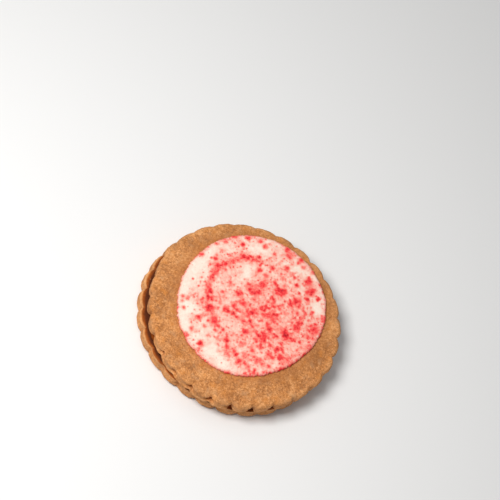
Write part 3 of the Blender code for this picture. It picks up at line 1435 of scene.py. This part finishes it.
@dataclass
class Studio:
    """Pale floor, soft lights and the camera."""

    elevation: float = radians(60)
    distance: float = 730 * MM
    lens: float = 143.8
    sensor: float = 36.0
    roll: float = radians(36.6)
    # Where the biscuit's middle lies in the view, right and up from its middle, in shares of its width
    aside: tuple[float, float] = (-0.014, -0.133)
    floor_size: float = 6.0
    floor_level: float = -0.03 * MM
    floor_grey: float = 0.86
    daylight: float = 0.22
    lamps: tuple[Lamp, ...] = (
        Lamp("key", 225, 60, 0.45, 0.16, 1.75, (1.0, 0.99, 0.97)),
        Lamp("top", 120, 80, 1.0, 0.8, 1.3),
    )

    def camera(self, target: Vector) -> None:
        """Places the camera, which looks past the target so that it lies off the view's middle.

        Args:
            target: The middle of the upper biscuit.
        """
        data = bpy.data.cameras.new("camera")
        data.sensor_width, data.lens = self.sensor, self.lens
        data.clip_start, data.clip_end = 0.01, 20.0
        camera = bpy.data.objects.new("camera", data)
        bpy.context.scene.collection.objects.link(camera)
        back = Vector((0.0, -cos(self.elevation), sin(self.elevation)))
        camera.location = target + back * self.distance
        seen = Vector((self.aside[0] * self.sensor, self.aside[1] * self.sensor, -self.lens))
        look = (-back).to_track_quat("-Z", "Y")
        turn = Quaternion((0, 0, 1), self.roll)
        camera.rotation_mode = "QUATERNION"
        camera.rotation_quaternion = look @ turn @ seen.rotation_difference(Vector((0, 0, -1)))
        bpy.context.scene.camera = camera

    def floor(self) -> None:
        """Lays a wide pale floor just under the biscuit."""
        mesh = bpy.data.meshes.new("floor")
        half, level = self.floor_size / 2, self.floor_level
        corners = [(-half, -half, level), (half, -half, level), (half, half, level), (-half, half, level)]
        mesh.from_pydata(corners, [], [(0, 1, 2, 3)])
        floor = bpy.data.objects.new("floor", mesh)
        bpy.context.scene.collection.objects.link(floor)
        graph = FinishGraph("pale_floor")
        grey = self.floor_grey
        graph.set(Base_Color=(grey, grey, grey, 1.0), Roughness=0.9, Specular_IOR_Level=0.1)
        mesh.materials.append(graph.material)

    def build(self, target: Vector) -> None:
        """Sets up the camera, the floor and the lights.

        Args:
            target: The middle of the upper biscuit.
        """
        self.camera(target)
        self.floor()
        for lamp in self.lamps:
            lamp.build()
        world = bpy.data.worlds.new("studio")
        world.use_nodes = True
        background = world.node_tree.nodes["Background"]
        background.inputs["Color"].default_value = (1.0, 1.0, 1.0, 1.0)
        background.inputs["Strength"].default_value = self.daylight
        bpy.context.scene.world = world
        bpy.context.scene.view_settings.view_transform = "Standard"


# ---- The whole biscuit ----


def bake_biscuits(crust: bpy.types.Material) -> None:
    """Makes the two biscuits, the lower one with its base up.

    Args:
        crust: Their material.
    """
    FlutedBiscuit(
        name="lower_biscuit", seed=0.31, corners=3, corner_size=0.35 * MM, corner_angle=radians(37),
        shift=(0.0, 0.0), turn=radians(7.4), turned_over=True,
        fine_from=0.6 * MM, step=0.42 * MM, foot_depth=0.25 * MM, foot_edge=1.0 * MM,
        notch_depth=0.0, pocket=0.0, lift=0.3 * MM, droop=0.25 * MM, soak=-0.3 * MM,
        slack=Side(200, 0.2), dry=Side(172, 0.9 * MM), flat=Side(77, 0.7 * MM), dent=Side(2, 0.8 * MM),
    ).build(crust)
    FlutedBiscuit(
        name="upper_biscuit", seed=0.0, corners=2, corner_size=0.25 * MM, corner_angle=radians(69),
        shift=UPPER_SHIFT, turn=0.0, turned_over=False, fine_from=23 * MM, flute_depth=1.85 * MM,
        slack=Side(168, 0.63), lip=Side(266, 0.95), flat=Side(225, 2.0 * MM), dent=Side(312, 0.6 * MM),
        moist_centre=(0.0, ICING_OFFSET), moist_reach=ICING_RADIUS,
    ).build(crust)


def sugar(dusting: Dusting, icing: Icing) -> None:
    """Makes the red and the clear crystals on the icing.

    Args:
        dusting: Where the red ones lie and how red the icing is.
        icing: What they are set into.
    """
    centre = icing.centre
    red = CrystalFinish("red_sugar", (0.94, 0.12, 0.12), (0.42, 0.008, 0.018))
    Crystals(
        "red_crystals", Slot.RED_CRYSTALS, dusting.x * MM + centre.x, dusting.y * MM + centre.y,
        dusting.size * MM, dusting.tone, 3,
    ).build(icing, red.make())
    x, y, size = clear_grains(8, 5200)
    tone = np.clip(1.7 * dusting.dye(x, y) - 0.1, 0, 1)
    clear = CrystalFinish("clear_sugar", (0.97, 0.86, 0.76), (0.96, 0.22, 0.18))
    Crystals(
        "clear_crystals", Slot.CLEAR_CRYSTALS, x * MM + centre.x, y * MM + centre.y, size * MM,
        tone, 4, round=False, sunk=0.5,
    ).build(icing, clear.make())


def clear_grains(seed: int, count: int) -> tuple[np.ndarray, np.ndarray, np.ndarray]:
    """Spreads the clear crystals evenly.

    Args:
        seed: Seed of their places.
        count: Their number.

    Returns:
        x, y and radius of each, in millimetres.
    """
    chance = np.random.default_rng(seed)
    x, y = chance.uniform(-30, 30, count), chance.uniform(-30, 36, count)
    return x, y, 0.06 + 0.10 * chance.beta(1.5, 3.0, count)


def main() -> None:
    """Builds the studio, the two biscuits, the jam, the icing and its sugar."""
    logging.basicConfig(level=logging.INFO, format="%(message)s")
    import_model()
    centre = Vector((*UPPER_SHIFT, 0.0))
    Studio().build(centre + Vector((0, 0, 10 * MM)))
    bake_biscuits(CrustFinish().make())
    JamLayer().build(JamFinish().make())
    dusting = Dusting()
    icing = Icing(dusting, centre)
    icing.build(IcingFinish().make())
    sugar(dusting, icing)


if __name__ == "__main__":
    main()
